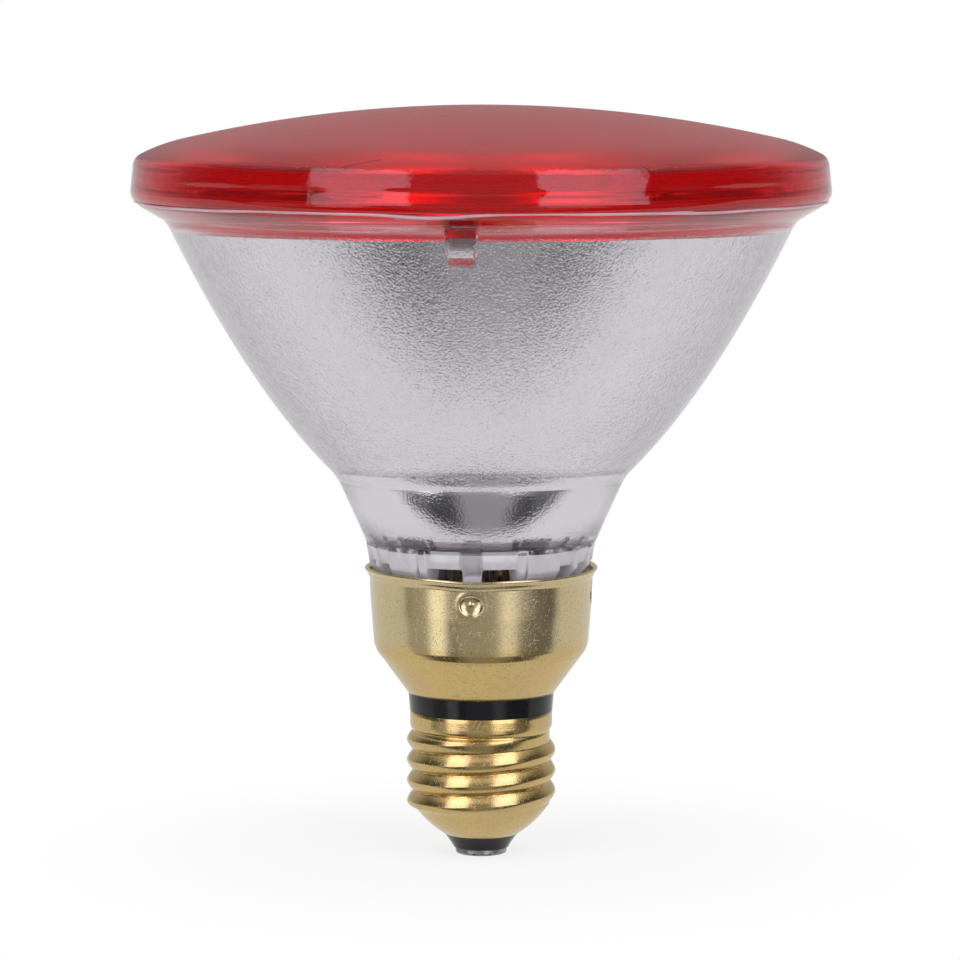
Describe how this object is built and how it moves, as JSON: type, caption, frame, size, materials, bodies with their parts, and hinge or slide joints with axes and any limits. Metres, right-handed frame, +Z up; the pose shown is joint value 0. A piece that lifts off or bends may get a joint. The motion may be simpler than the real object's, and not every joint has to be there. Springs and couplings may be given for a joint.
{
  "type": "infrared reflector heat lamp",
  "caption": "Red pressed-glass infrared reflector lamp on a skirted brass screw cap, which warms chicks and small livestock from an overhead lampholder.",
  "frame": {"origin": "centre of the flat face of the centre contact, at the cap's very end, which is the bottom centre of the whole lamp", "axes": "+Z runs up the lamp's axis from the contact to the lens; -Y is the front, where the reflector's locating tab is; +X is to the right seen from the front"},
  "size_m": [0.1216, 0.1216, 0.1315],
  "materials": {
    "red_glass": "red pressed glass, glossy wall and finely matt dome",
    "clear_glass": "clear pressed glass, finely pebbled on the bowl",
    "seal_glass": "pale translucent bead",
    "mirror_film": "evaporated aluminium",
    "brass_sheet": "drawn brass with light patina",
    "black_glass": "glossy black glass",
    "contact_metal": "tinned contact disc",
    "solder": "dull solder",
    "nickel_iron": "nickel-plated iron",
    "tungsten": "drawn tungsten",
    "copper_lead": "bare copper",
    "glass_fibre": "braided glass-fibre sleeve"
  },
  "bodies": {
    "root": {"lens": "red_glass", "reflector": "clear_glass", "exhaust_tube": "clear_glass", "fuse_capsule": "clear_glass", "rim_seal": "seal_glass", "mirror_coating": "mirror_film", "skirt": "brass_sheet", "screw_shell": "brass_sheet", "insulator_ring": "black_glass", "tip_insulator": "black_glass", "centre_contact": "contact_metal", "contact_solder": "solder", "shell_solder": "solder", "ferrule_left": "nickel_iron", "ferrule_right": "nickel_iron", "lead_post_left": "nickel_iron", "lead_post_right": "nickel_iron", "filament_clamp_left": "nickel_iron", "filament_clamp_right": "nickel_iron", "filament": "tungsten", "shell_lead": "copper_lead", "contact_lead_upper": "copper_lead", "contact_lead_lower": "copper_lead", "fuse_link": "copper_lead", "lead_sleeve_left": "glass_fibre", "lead_sleeve_right": "glass_fibre"}
  },
  "joints": []
}
